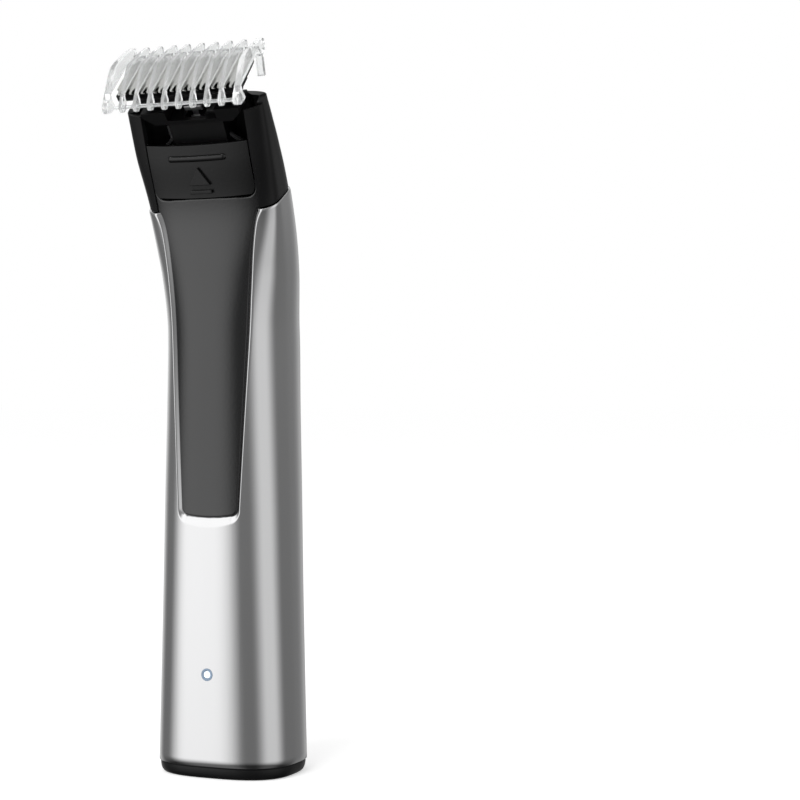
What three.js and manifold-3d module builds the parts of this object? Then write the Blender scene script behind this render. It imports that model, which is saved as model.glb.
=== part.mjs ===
// Cordless beard trimmer with a double-edged blade and a clear comb.
// Millimetres, +Z up. The origin is the centre of the flat foot, -Y is the front and X runs across the blade.
import * as THREE from "three";
import { mergeVertices } from "three/addons/utils/BufferGeometryUtils.js";
import Module from "manifold-3d";

const wasm = await Module();
wasm.setup();

// ---- Driving dimensions ----

// Outer surface of handle and neck: front and rear points in the YZ plane, half width in X, roundness
// of the section (a higher power is squarer) and how far the front and rear faces stand out as a crown.
const STATIONS = [
  { front: [-13.4, 0], rear: [13.3, 0], half: 17.3, power: 2.8, crown: [0, 0] },
  { front: [-13.4, 22], rear: [13.4, 22], half: 16.7, power: 2.8, crown: [0, 0] },
  { front: [-13.4, 44], rear: [13.6, 44], half: 16.1, power: 2.8, crown: [0, 0] },
  { front: [-13.4, 66], rear: [13.9, 66], half: 15.6, power: 2.8, crown: [0, 0] },
  { front: [-13.4, 86], rear: [14.2, 87], half: 15.05, power: 2.8, crown: [0, 0] },
  { front: [-13.4, 104], rear: [14.1, 106], half: 14.7, power: 2.9, crown: [0.2, 0.1] },
  { front: [-13.5, 117.5], rear: [10.2, 121], half: 15.7, power: 3.4, crown: [0.8, 0.3] },
  { front: [-14.4, 130.6], rear: [-0.4, 139.1], half: 17.1, power: 5, crown: [1.6, 0.6] },
  { front: [-18.7, 143], rear: [-9.1, 150.4], half: 17.9, power: 6, crown: [1.6, 0.8] },
  { front: [-23.6, 157.2], rear: [-16.9, 161.3], half: 17.9, power: 6, crown: [1.4, 1] },
];

// Frames that lean forward about X, given by the place of their origin and their tilt.
const NECK = { y: -6.55, z: 135, tilt: THREE.MathUtils.degToRad(32.4) };
const BLADE = { y: -24.95, z: 161.9, tilt: THREE.MathUtils.degToRad(47.5) };
const MOTOR = { y: -0.6, z: 103, tilt: THREE.MathUtils.degToRad(6) };
const SLIDER_TILT = THREE.MathUtils.degToRad(18.9);

const GAP = 0.3; // clearance between pieces that touch on the real object
const FAR = 90; // larger than the object's sections, for tools that cut everything on one side
const STEEL_WALL = 0.9;
const STEEL_BOTTOM = 3;
const FOOT_ROUND = 0.9;
const PLUG = { top: 9, inset: 1.3 };
const SEAL = { low: 5.2, high: 6.4, outer: 1.1, inner: 2 };

const GRIP = { outer: 0.6, inner: 2, low: 61, lowHalf: 7.7, corner: 2, sag: 0.8, top: 134 };
const GRIP_WAIST = { half: 10.4, z: 111 };
const GRIP_SHOULDER = { half: 14.4, z: 131.9 };
const REAR_GRIP = { outer: 0, inner: 1.5, low: 106, lowHalf: 8.2, topHalf: 9, topAlongNeck: 18 };

const BUTTON = { z: 24.3, radius: 0.85, ring: 1.45, hole: 1.75, travel: 0.4 };
const CONTACT = { x: 5, radius: 1.2 };
const CAP_SCREW = { x: 11.2, headRadius: 1.7, radius: 0.9 };

const CHASSIS = { outer: 2.4, inner: 3.6, low: 9.3, high: 112 };
const BATTERY = { y: 1.4, low: 16, length: 50, radius: 7 };
const BOARD = { y: -8.7, thick: 1, half: 7, low: 14.5, high: 67 };
const MOTOR_CAN = { radius: 7.5, flat: 6, length: 24 };
const SHAFT = { radius: 1, length: 6 };
const CRANK = { radius: 2.6, low: 6.3, high: 9, pinRadius: 0.6, offset: 0.8, pinTop: 14 };

const HOUSING = { outer: 0.35, inner: 2.4, openingHalf: 13.6, skirtInner: 3.6, skirtDepth: 5 };
const CHEEK_TOP = -8.8; // in the blade frame
const WELL = { half: 13.6, low: 9.5, rear: 4.2 }; // the room between the cheeks, in the neck frame
const SLIDER = { outer: 0.35, inner: 1.9, half: 13.3, low: 134.35, high: 146, corner: 2.2 };
const THUMB_RIDGE = { y: -18.85, z: 143.3, half: 7.6, radius: 0.75 };
const SLIDER_SPRING = { x: 9.5, y: -10.6, z: 137.4, length: 5.8, radius: 1.1, wire: 0.22, turns: 5 };
const DOCK = { low: 10.8, high: 12.2, half: 7, front: -1.5, rear: 4, top: -11.4 };

const LEVER_PIVOT = { y: -8, z: 138 };
const LEVER_FORK = { y: -1.85, z: 114.9 };
const LEVER_BEND = { y: -17, z: 153.3 };
const LEVER_TIP = { y: -21.8, z: 158.6 };
const LEVER = { half: 1.5, thick: 2, tipHalf: 0.8, tipThick: 1.4, forkInner: 1.55, forkOuter: 2.8 };
const PIN_RADIUS = 0.8;

const BAR = { half: 15.3, end: 1.2, reach: 5.8, top: -1.7 };
const GUARD = { half: 15.3, reach: 6, thick: 0.45, pitch: 1.5, teeth: 20, depth: 1.7, gap: 0.55 };
const CUTTER = { half: 12.9, reach: 5.4, thick: 0.4, top: -0.65, pitch: 1.5, teeth: 16, depth: 1.7, gap: 0.7 };
const TILT_AXIS = { y: -0.3, z: -8.5 };
const BASE = { half: 12.6, front: -4.1, rear: 2.5, top: -7.6, bottom: -10.3 };

const COMB = { ribs: 10, pitch: 3.6, rib: 0.9, endRib: 1.6 };

// ---- Shape helpers ----

const MERGE_DISTANCE = 1e-4;

function toSolid(geometry) {
  const bare = new THREE.BufferGeometry();
  bare.setAttribute("position", geometry.getAttribute("position"));
  bare.setIndex(geometry.getIndex());
  const merged = mergeVertices(bare, MERGE_DISTANCE);
  const vertProperties = merged.getAttribute("position").array;
  const triVerts = new Uint32Array(merged.getIndex().array);
  return new wasm.Manifold(new wasm.Mesh({ numProp: 3, vertProperties, triVerts }));
}

function toGeometry(solid) {
  const mesh = solid.getMesh();
  const geometry = new THREE.BufferGeometry();
  geometry.setAttribute("position", new THREE.BufferAttribute(mesh.vertProperties, 3));
  geometry.setIndex(new THREE.BufferAttribute(mesh.triVerts, 1));
  geometry.computeVertexNormals();
  return geometry;
}

function combine(operation, first, rest) {
  let solid = toSolid(first);
  for (const other of rest) {
    solid = solid[operation](toSolid(other));
  }
  return toGeometry(solid);
}

const join = (first, ...rest) => combine("add", first, rest);
const cut = (first, ...rest) => combine("subtract", first, rest);
const common = (first, ...rest) => combine("intersect", first, rest);

// A box given by its lowest and highest corners.
function box(low, high) {
  const size = high.map((value, i) => value - low[i]);
  const middle = high.map((value, i) => (value + low[i]) / 2);
  return new THREE.BoxGeometry(...size).translate(...middle);
}

// A round bar along Z from low to high.
function post(x, y, low, high, radius, sides = 16) {
  const bar = new THREE.CylinderGeometry(radius, radius, high - low, sides).rotateX(Math.PI / 2);
  return bar.translate(x, y, (low + high) / 2);
}

// A round bar along X.
function crossBar(low, high, y, z, radius, sides = 16) {
  const bar = new THREE.CylinderGeometry(radius, radius, high - low, sides).rotateZ(Math.PI / 2);
  return bar.translate((low + high) / 2, y, z);
}

// A round bar along Y.
function throughBar(x, low, high, z, radius, sides = 16) {
  const bar = new THREE.CylinderGeometry(radius, radius, high - low, sides);
  return bar.translate(x, (low + high) / 2, z);
}

// Extrudes an outline drawn in YZ along X.
function extrudeAcross(shape, low, high, curveSegments = 6) {
  const basis = new THREE.Matrix4().makeBasis(
    new THREE.Vector3(0, 1, 0),
    new THREE.Vector3(0, 0, 1),
    new THREE.Vector3(1, 0, 0),
  );
  const solid = new THREE.ExtrudeGeometry(shape, { depth: high - low, bevelEnabled: false, curveSegments });
  return solid.applyMatrix4(basis).translate(low, 0, 0);
}

// Extrudes an outline drawn in XZ along Y.
function extrudeBack(shape, low, high, curveSegments = 6) {
  const solid = new THREE.ExtrudeGeometry(shape, { depth: high - low, bevelEnabled: false, curveSegments });
  return solid.rotateX(Math.PI / 2).translate(0, high, 0);
}

// Extrudes an outline drawn in XY up along Z.
function extrudeUp(shape, low, high) {
  const solid = new THREE.ExtrudeGeometry(shape, { depth: high - low, bevelEnabled: false, curveSegments: 6 });
  return solid.translate(0, 0, low);
}

const outline = (points) => new THREE.Shape(points.map(([a, b]) => new THREE.Vector2(a, b)));

// A leaning frame as a group, and as a way to bring a shape from that frame into the body's.
function leaningGroup(frame) {
  const group = new THREE.Group();
  group.position.set(0, frame.y, frame.z);
  group.rotation.x = frame.tilt;
  return group;
}

function leaning(geometry, frame) {
  return geometry.clone().rotateX(frame.tilt).translate(0, frame.y, frame.z);
}

const upright = { y: 0, z: 0, tilt: 0 };
const above = (frame, level) => leaning(box([-FAR, -FAR, level], [FAR, FAR, level + 2 * FAR]), frame);
const below = (frame, level) => leaning(box([-FAR, -FAR, level - 2 * FAR], [FAR, FAR, level]), frame);
const slab = (frame, low, high) => leaning(box([-FAR, -FAR, low], [FAR, FAR, high]), frame);
const neckRear = leaning(box([-FAR, 1, -FAR], [FAR, FAR, FAR]), NECK);
const neckFront = leaning(box([-FAR, -FAR, -FAR], [FAR, -0.5, FAR]), NECK);

// ---- Outer surface of handle and neck ----

const stationCurve = (pick) => new THREE.CatmullRomCurve3(STATIONS.map((s) => new THREE.Vector3(...pick(s))));
const FRONT_CURVE = stationCurve((s) => [...s.front, s.crown[0]]);
const REAR_CURVE = stationCurve((s) => [...s.rear, s.crown[1]]);
const SIZE_CURVE = stationCurve((s) => [s.half, s.power, 0]);
const stationShare = (index) => index / (STATIONS.length - 1);

const bent = (value, power) => Math.sign(value) * Math.abs(value) ** (2 / power);

// A point of the surface, moved inwards by inset. Across is 1 at +X, and depth is -1 at the front.
function bodyPoint(share, across, depth, inset) {
  const front = FRONT_CURVE.getPoint(share);
  const rear = REAR_CURVE.getPoint(share);
  const size = SIZE_CURVE.getPoint(share);
  const middle = new THREE.Vector2((front.x + rear.x) / 2, (front.y + rear.y) / 2);
  const line = new THREE.Vector2(rear.x - front.x, rear.y - front.y);
  const reach = line.length() / 2 - inset;
  const x = bent(across, size.y);
  const crown = depth < 0 ? front.z : rear.z;
  const offset = bent(depth, size.y) * (reach - crown * x * x);
  middle.addScaledVector(line.normalize(), offset);
  return new THREE.Vector3(x * (size.x - inset), middle.x, middle.y);
}

// The closed solid under the surface between two stations.
function body(inset, from = 0, to = STATIONS.length - 1, sides = 36, rings = 20) {
  const geometry = new THREE.CylinderGeometry(1, 1, 1, sides, rings);
  const position = geometry.getAttribute("position");
  const point = new THREE.Vector3();
  for (let i = 0; i < position.count; i++) {
    point.fromBufferAttribute(position, i);
    const share = THREE.MathUtils.lerp(stationShare(from), stationShare(to), point.y + 0.5);
    const placed = bodyPoint(share, point.x, -point.z, inset);
    position.setXYZ(i, placed.x, placed.y, placed.z);
  }
  return geometry;
}

// ---- Grip outlines, seen from the front ----

function frontGripOutline(margin, shoulderHalf, top) {
  const low = GRIP.low + margin;
  const half = GRIP.lowHalf - margin;
  const waist = GRIP_WAIST.half - margin;
  const shoulder = GRIP_SHOULDER.z + margin;
  const shape = new THREE.Shape();
  shape.moveTo(-half + GRIP.corner, low);
  shape.quadraticCurveTo(0, low - GRIP.sag, half - GRIP.corner, low);
  shape.quadraticCurveTo(half, low + 0.1, half + 0.1, low + GRIP.corner);
  shape.lineTo(waist, GRIP_WAIST.z);
  shape.bezierCurveTo(waist + 0.9, 124, waist + 1.6, shoulder - 0.3, shoulderHalf, shoulder);
  shape.lineTo(shoulderHalf, top);
  shape.lineTo(-shoulderHalf, top);
  shape.lineTo(-shoulderHalf, shoulder);
  shape.bezierCurveTo(-waist - 1.6, shoulder - 0.3, -waist - 0.9, 124, -waist, GRIP_WAIST.z);
  shape.lineTo(-half - 0.1, low + GRIP.corner);
  shape.quadraticCurveTo(-half, low + 0.1, -half + GRIP.corner, low);
  return shape;
}

function rearGripOutline(margin, top) {
  const low = REAR_GRIP.low + margin;
  const half = REAR_GRIP.lowHalf - margin;
  const topHalf = REAR_GRIP.topHalf - margin;
  const shape = new THREE.Shape();
  shape.moveTo(-half + 3, low);
  shape.lineTo(half - 3, low);
  shape.quadraticCurveTo(half, low, half, low + 3);
  shape.lineTo(topHalf, top);
  shape.lineTo(-topHalf, top);
  shape.lineTo(-half, low + 3);
  shape.quadraticCurveTo(-half, low, -half + 3, low);
  return shape;
}

// ---- The object ----

const trimmer = new THREE.Group();

const FINISHES = {
  steel: { color: 0xc4c6c8, roughness: 0.32, metalness: 1 },
  plastic: { color: 0x1b1b1c, roughness: 0.55, metalness: 0 },
  grip: { color: 0x2c2c2e, roughness: 0.75, metalness: 0 },
  rubber: { color: 0x141414, roughness: 0.85, metalness: 0 },
  clear: { color: 0xf2f5f7, roughness: 0.1, metalness: 0, transparent: true, opacity: 0.35 },
  blade: { color: 0xd6d8da, roughness: 0.25, metalness: 1 },
  brass: { color: 0xc9a24a, roughness: 0.35, metalness: 1 },
  board: { color: 0x1d5a34, roughness: 0.5, metalness: 0 },
  white: { color: 0xf4f6f8, roughness: 0.4, metalness: 0 },
  glow: { color: 0x6fb4f2, roughness: 0.3, metalness: 0, emissive: 0x6fb4f2 },
  cell: { color: 0x2f6fae, roughness: 0.4, metalness: 0 },
};

function add(name, finish, geometry, parent = trimmer) {
  const mesh = new THREE.Mesh(geometry, new THREE.MeshStandardMaterial(FINISHES[finish]));
  mesh.name = name;
  parent.add(mesh);
}

// Casing: steel shell, foot cap and grips.
function addCasing() {
  const frontOpening = extrudeBack(frontGripOutline(0, GRIP_SHOULDER.half, 160), -FAR, 0);
  const rearOpening = common(extrudeBack(rearGripOutline(0, 175), -40, FAR), neckRear);
  const shell = cut(
    body(0, 0, 8, 32, 18),
    body(STEEL_WALL, 0, 8, 24, 14),
    below(upright, STEEL_BOTTOM),
    above(NECK, 0),
    frontOpening,
    rearOpening,
    throughBar(0, -FAR, 0, BUTTON.z, BUTTON.hole, 24),
  );
  add("steel_shell", "steel", shell);

  const frontGrip = common(
    cut(body(GRIP.outer, 2, 8, 32, 14), body(GRIP.inner, 2, 8, 24, 9)),
    extrudeBack(frontGripOutline(GAP, SLIDER.half, GRIP.top), -FAR, 0),
    neckFront,
  );
  add("front_grip", "grip", frontGrip);

  const rearGrip = cut(
    common(
      cut(body(REAR_GRIP.outer, 4, 9, 32, 12), body(REAR_GRIP.inner, 4, 9, 24, 9)),
      extrudeBack(rearGripOutline(GAP, 175), -40, FAR),
      neckRear,
    ),
    above(NECK, REAR_GRIP.topAlongNeck),
  );
  add("rear_grip", "grip", rearGrip);
}

function addFoot() {
  const foot = common(body(0.3, 0, 1, 32, 1), slab(upright, FOOT_ROUND, STEEL_BOTTOM - GAP));
  const sole = common(body(0.3 + FOOT_ROUND, 0, 1, 32, 1), slab(upright, 0, FOOT_ROUND + 0.1));
  const plug = common(body(PLUG.inset, 0, 1, 20, 1), slab(upright, 1, PLUG.top));
  const groove = cut(slab(upright, SEAL.low - 0.2, SEAL.high + 0.2), body(SEAL.inner + GAP, 0, 1, 20, 1));
  const tools = [groove];
  for (const side of [-1, 1]) {
    tools.push(post(side * CAP_SCREW.x, 0, -1, FAR, CAP_SCREW.radius + GAP));
    tools.push(post(side * CAP_SCREW.x, 0, -1, 2, CAP_SCREW.headRadius + GAP));
    tools.push(post(side * CONTACT.x, 0, -1, 2.2, CONTACT.radius + GAP));
  }
  add("bottom_cap", "plastic", cut(join(foot, sole, plug), ...tools));

  const ring = cut(body(SEAL.outer, 0, 1, 20, 1), body(SEAL.inner, 0, 1, 20, 1));
  add("cap_seal", "rubber", common(ring, slab(upright, SEAL.low, SEAL.high)));

  for (const [side, label] of [[-1, "left"], [1, "right"]]) {
    const x = side * CAP_SCREW.x;
    const head = post(x, 0, 0.7, 1.7, CAP_SCREW.headRadius);
    const screw = join(head, post(x, 0, 1.6, 8.6, CAP_SCREW.radius));
    add(`cap_screw_${label}`, "steel", cut(screw, box([x - 1.2, -0.25, 0], [x + 1.2, 0.25, 1.2])));
    add(`charging_contact_${label}`, "brass", post(side * CONTACT.x, 0, 0.4, 1.9, CONTACT.radius));
  }
}

// Power button with its light ring, and the electronics behind it.
function addElectronics() {
  const ring = cut(
    throughBar(0, -13.45, -11.6, BUTTON.z, BUTTON.ring, 24),
    throughBar(0, -14, -11, BUTTON.z, BUTTON.radius + 0.15, 24),
  );
  add("light_ring", "glow", ring);
  add("power_button", "white", throughBar(0, -13.4, -10.75, BUTTON.z, BUTTON.radius, 24));
  add("tact_switch", "plastic", box([-1.5, -10.25, BUTTON.z - 1.5], [1.5, BOARD.y - 0.1, BUTTON.z + 1.5]));
  add("ring_led", "white", box([-0.8, -10, BUTTON.z + 1.8], [0.8, BOARD.y - 0.1, BUTTON.z + 2.6]));

  const back = BOARD.y + BOARD.thick;
  add("circuit_board", "board", box([-BOARD.half, BOARD.y, BOARD.low], [BOARD.half, back, BOARD.high]));
  add("charge_chip", "plastic", box([-2.5, back + 0.1, 30], [2.5, back + 1, 34.6]));

  const { y, low, length, radius } = BATTERY;
  const cell = join(post(0, y, low, low + length - 1, radius, 28), post(0, y, low + 1, low + length, 2.8));
  add("battery", "cell", cell);
  add("battery_tab_lower", "brass", box([-2.5, y - 5, low - 0.7], [2.5, y + 5, low - 0.3]));
  add("battery_tab_upper", "brass", box([-2.5, y - 5, low + length + GAP], [2.5, y + 5, low + length + 0.7]));
}

// The inner frame that carries battery, board and motor, in two halves.
function addChassis() {
  const tube = common(
    cut(body(CHASSIS.outer, 0, 7, 20, 8), body(CHASSIS.inner, 0, 7, 20, 8)),
    slab(upright, CHASSIS.low, CHASSIS.high),
  );
  const buttonHole = throughBar(0, -FAR, 0, BUTTON.z + 0.4, 3.2);
  const frontHalf = box([-FAR, -FAR, 0], [FAR, -0.15, FAR * 2]);
  const rearHalf = box([-FAR, 0.15, 0], [FAR, FAR, FAR * 2]);
  add("chassis_front", "plastic", cut(common(tube, frontHalf), buttonHole));

  const floors = [[12.6, 14], [68.4, 69.8]].map(([low, high]) =>
    common(body(CHASSIS.inner - 0.1, 0, 7, 20, 8), slab(upright, low, high), rearHalf),
  );
  add("chassis_rear", "plastic", join(common(tube, rearHalf), ...floors));
}

// Motor, its mounting plate and the crank on its shaft.
function addMotor() {
  const group = leaningGroup(MOTOR);
  trimmer.add(group);
  const can = common(
    post(0, 0, -MOTOR_CAN.length, 0, MOTOR_CAN.radius, 28),
    box([-MOTOR_CAN.radius, -MOTOR_CAN.flat, -FAR], [MOTOR_CAN.radius, MOTOR_CAN.flat, FAR]),
  );
  const screwSides = [[-1, "left"], [1, "right"]];
  const screwHoles = screwSides.map(([side]) => post(side * 5, 0, -2.6, 3, 1.1, 12));
  add("motor", "steel", cut(can, post(0, 0, -2, 1, SHAFT.radius + GAP), ...screwHoles), group);

  const plate = cut(
    common(body(CHASSIS.inner + GAP, 4, 7, 20, 4), slab(MOTOR, GAP, 1.7)),
    leaning(post(0, 0, -5, 5, SHAFT.radius + 1), MOTOR),
    ...screwHoles.map((hole) => leaning(hole, MOTOR)),
  );
  add("motor_mount", "plastic", plate);
  for (const [side, label] of screwSides) {
    const screw = join(post(side * 5, 0, -2.2, 2.1, 0.8, 12), post(side * 5, 0, 2, 3, 1.6, 12));
    add(`motor_screw_${label}`, "steel", screw, group);
  }

  add("motor_shaft", "steel", post(0, 0, -1.7, SHAFT.length, SHAFT.radius), group);
  const crank = join(
    post(0, 0, CRANK.low, CRANK.high, CRANK.radius, 20),
    post(0, -CRANK.offset, CRANK.high - 0.1, CRANK.pinTop, CRANK.pinRadius, 12),
  );
  add("crank", "brass", crank, group);
}

// A straight bar in the YZ plane between two points, square at its ends.
function barBetween(from, to, thick, half, extra = 0) {
  const length = Math.hypot(to.y - from.y, to.z - from.z);
  const tilt = Math.atan2(from.y - to.y, to.z - from.z);
  return leaning(box([-half, -thick / 2, -extra], [half, thick / 2, length + extra]), { ...from, tilt });
}

// The rocking lever that turns the crank's circle into a side-to-side stroke, and what holds it.
function leverShape(grow) {
  const wide = LEVER.half + grow;
  const thick = LEVER.thick + grow;
  const tip = barBetween(LEVER_BEND, LEVER_TIP, LEVER.tipThick + grow, LEVER.tipHalf + grow);
  const upper = barBetween(LEVER_PIVOT, LEVER_BEND, thick, wide, 0.6);
  const lower = barBetween(LEVER_FORK, LEVER_PIVOT, thick, wide);
  return { tip, upper, lower };
}

function addLever() {
  const { tip, upper, lower } = leverShape(0);
  const prongs = [-1, 1].map((side) => {
    const middle = (side * (LEVER.forkInner + LEVER.forkOuter)) / 2;
    const prong = box([-0.62, -1.6, -2], [0.62, 1.6, 4.6]).translate(middle, 0, 0);
    return leaning(prong, { ...LEVER_FORK, tilt: NECK.tilt / 2 });
  });
  const bridge = leaning(box([-2.8, -1.6, 3.4], [2.8, 1.6, 5]), { ...LEVER_FORK, tilt: NECK.tilt / 2 });
  const eye = leaning(throughBar(0, -1.2, 1.2, 0, 2.4), { ...LEVER_PIVOT, tilt: NECK.tilt });
  const pinRoom = leaning(throughBar(0, -FAR, FAR, 0, PIN_RADIUS + 0.15), { ...LEVER_PIVOT, tilt: NECK.tilt });
  const crankRoom = leaning(box([-1.55, -1.8, -3], [1.55, 1.8, 3.3]), { ...LEVER_FORK, tilt: NECK.tilt / 2 });
  const lever = cut(join(cut(lower, crankRoom), upper, tip, ...prongs, bridge, eye), pinRoom);
  add("drive_lever", "steel", lever);

  const pivot = { ...LEVER_PIVOT, tilt: NECK.tilt };
  add("lever_pin", "steel", leaning(throughBar(0, -4.2, 2.4, 0, PIN_RADIUS, 12), pivot));
  const bracket = cut(
    leaning(box([-6.5, -4.6, -2.6], [6.5, 2.6, 2.6]), pivot),
    leaning(box([-3.4, -2.5, -FAR], [3.4, 1.7, FAR]), pivot),
    pinRoom,
  );
  add("lever_bracket", "plastic", bracket);
}

// Head housing with its two cheeks, the dock inside it and the sliding release on its front.
function addHead() {
  const opening = common(box([-HOUSING.openingHalf, -FAR, 100], [HOUSING.openingHalf, FAR, 180]), neckFront);
  const rearGroove = cut(
    common(extrudeBack(rearGripOutline(-GAP, 175), -40, FAR), neckRear),
    body(REAR_GRIP.inner + GAP, 4, 9, 24, 9),
    above(NECK, REAR_GRIP.topAlongNeck + GAP),
  );
  const wall = cut(
    common(body(HOUSING.outer, 6, 9, 32, 8), above(NECK, GAP)),
    body(HOUSING.inner, 6, 9, 24, 6),
    opening,
  );
  const skirt = cut(
    common(body(HOUSING.inner - 0.1, 6, 9, 24, 6), slab(NECK, -HOUSING.skirtDepth, 4)),
    body(HOUSING.skirtInner, 6, 9, 20, 6),
    common(box([-FAR, -FAR, 100], [FAR, FAR, 180]), neckFront),
  );
  const well = leaning(box([-WELL.half, -FAR, WELL.low], [WELL.half, WELL.rear, FAR]), NECK);
  add("head_housing", "plastic", cut(join(wall, skirt), above(BLADE, CHEEK_TOP), rearGroove, well));

  const { tip, upper } = leverShape(1.6);
  const plate = common(body(HOUSING.inner + GAP, 6, 9, 24, 6), slab(NECK, DOCK.low, DOCK.high));
  const boss = cut(
    leaning(box([-DOCK.half, DOCK.front, DOCK.high - 0.1], [DOCK.half, DOCK.rear, FAR]), NECK),
    above(BLADE, DOCK.top),
  );
  add("dock", "plastic", cut(join(plate, boss), upper, tip));

  const sealGroup = leaningGroup(BLADE);
  trimmer.add(sealGroup);
  const gasket = cut(box([-4.4, -3.4, -11.1], [4.4, 2, -10.6]), box([-2.5, -2.4, -12], [2.5, 1.2, -10]));
  add("drive_seal", "rubber", gasket, sealGroup);
  const wireGroup = leaningGroup(NECK);
  trimmer.add(wireGroup);
  add("latch_wire", "steel", post(-8.4, 0.6, DOCK.high + GAP, 19.4, 0.45, 10), wireGroup);
}

function panelOutline() {
  const { half, low, high, corner } = SLIDER;
  const shape = new THREE.Shape();
  shape.moveTo(-half + corner, low);
  shape.lineTo(half - corner, low);
  shape.quadraticCurveTo(half, low, half, low + corner);
  shape.lineTo(half, high);
  shape.lineTo(-half, high);
  shape.lineTo(-half, low + corner);
  shape.quadraticCurveTo(-half, low, -half + corner, low);
  return shape;
}

function addSlider() {
  const skin = cut(body(SLIDER.outer, 6, 9, 32, 8), body(SLIDER.inner, 6, 9, 24, 6));
  const panel = common(skin, extrudeBack(panelOutline(), -FAR, 0, 4), neckFront);
  const { y, z, half, radius } = THUMB_RIDGE;
  const ridge = crossBar(-half, half, y, z, radius, 12);
  const face = { y: -15.9, z: 136.5, tilt: SLIDER_TILT };
  const arrow = extrudeBack(outline([[-2.6, 1.2], [2.6, 1.2], [0, 5.2]]), -0.9, 0.4);
  const bar = box([-2.8, -0.9, -0.9], [2.8, 0.4, -0.1]);
  const springFrame = { ...SLIDER_SPRING, tilt: SLIDER_TILT };
  const tabs = [-1, 1].map((side) => {
    const tab = box([-1.6, -3.4, -1.5], [1.6, 1.4, -GAP]).translate(side * SLIDER_SPRING.x, 0, 0);
    return leaning(tab, springFrame);
  });
  add("release_slider", "plastic", join(panel, ridge, leaning(arrow, face), leaning(bar, face), ...tabs));

  const group = leaningGroup(springFrame);
  trimmer.add(group);
  for (const [side, label] of [[-1, "left"], [1, "right"]]) {
    const spring = coilSpring(SLIDER_SPRING).translate(side * SLIDER_SPRING.x, 0, 0);
    add(`slider_spring_${label}`, "steel", spring, group);
  }
}

// A helical spring along Z with a round wire.
class Helix extends THREE.Curve {
  constructor(radius, length, turns) {
    super();
    Object.assign(this, { radius, length, turns });
  }
  getPoint(t) {
    const angle = t * this.turns * 2 * Math.PI;
    return new THREE.Vector3(this.radius * Math.cos(angle), this.radius * Math.sin(angle), t * this.length);
  }
}

function coilSpring({ radius, wire, length, turns }) {
  const section = outline([[wire, 0], [0, wire], [-wire, 0], [0, -wire]]);
  const path = new Helix(radius, length, turns);
  return new THREE.ExtrudeGeometry(section, { extrudePath: path, steps: turns * 8, bevelEnabled: false });
}

// Blade unit, all in the blade frame: +Z there points out of the blade, Y runs across its two edges.
function toothedPlate({ half, reach, thick, pitch, teeth, depth, gap }, top) {
  const points = [[-half, -reach + depth]];
  const start = (-(teeth - 1) * pitch) / 2;
  const toothHalf = (pitch - gap) / 2;
  for (let i = 0; i < teeth; i++) {
    const x = start + i * pitch;
    points.push([x - toothHalf, -reach + depth], [x - toothHalf * 0.6, -reach]);
    points.push([x + toothHalf * 0.6, -reach], [x + toothHalf, -reach + depth]);
  }
  points.push([half, -reach + depth]);
  const rear = points.map(([x, y]) => [-x, -y]);
  return extrudeUp(outline([...points, ...rear]), top - thick, top);
}

function carrierProfile() {
  const shape = new THREE.Shape();
  shape.moveTo(-BAR.reach, BAR.top);
  shape.quadraticCurveTo(-BAR.reach - 0.2, BAR.top - 0.7, -BAR.reach + 0.4, BAR.top - 0.8);
  shape.quadraticCurveTo(-3.9, BAR.top - 0.9, -3.5, -3.2);
  shape.lineTo(-3.2, -5.4);
  shape.lineTo(3.7, -5.4);
  shape.lineTo(3.3, -2.9);
  shape.quadraticCurveTo(3.4, BAR.top - 0.8, BAR.reach - 0.4, BAR.top - 0.8);
  shape.quadraticCurveTo(BAR.reach + 0.2, BAR.top - 0.7, BAR.reach, BAR.top);
  shape.closePath();
  return shape;
}

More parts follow.
